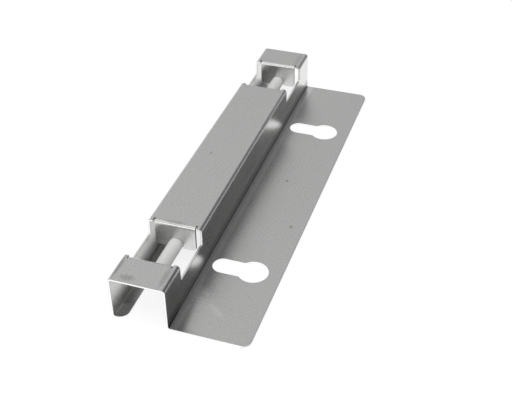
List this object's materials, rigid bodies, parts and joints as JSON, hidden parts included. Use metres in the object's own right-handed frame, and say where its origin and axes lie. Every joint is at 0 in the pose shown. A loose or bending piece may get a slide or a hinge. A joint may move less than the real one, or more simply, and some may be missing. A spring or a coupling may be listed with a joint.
{
  "type": "fryer basket hanger",
  "caption": "Folded steel hanger for fryer baskets: a flange with keyholes carries a channel, and welded round bars across its notches take the basket hooks.",
  "frame": {"origin": "on the wall plane, midway between the two studs that carry the hanger", "axes": "+Z out of the wall, -X up the wall when it hangs, +Y along the hanger to the right as seen from the front"},
  "size_m": [0.09, 0.3048, 0.032],
  "materials": {
    "satin_sheet": "satin stainless, fine grain along the sheet",
    "drawn_bar": "drawn stainless bar, matt"
  },
  "bodies": {
    "root": {"hanger_body": "satin_sheet", "left_bar": "drawn_bar", "right_bar": "drawn_bar"}
  },
  "joints": []
}
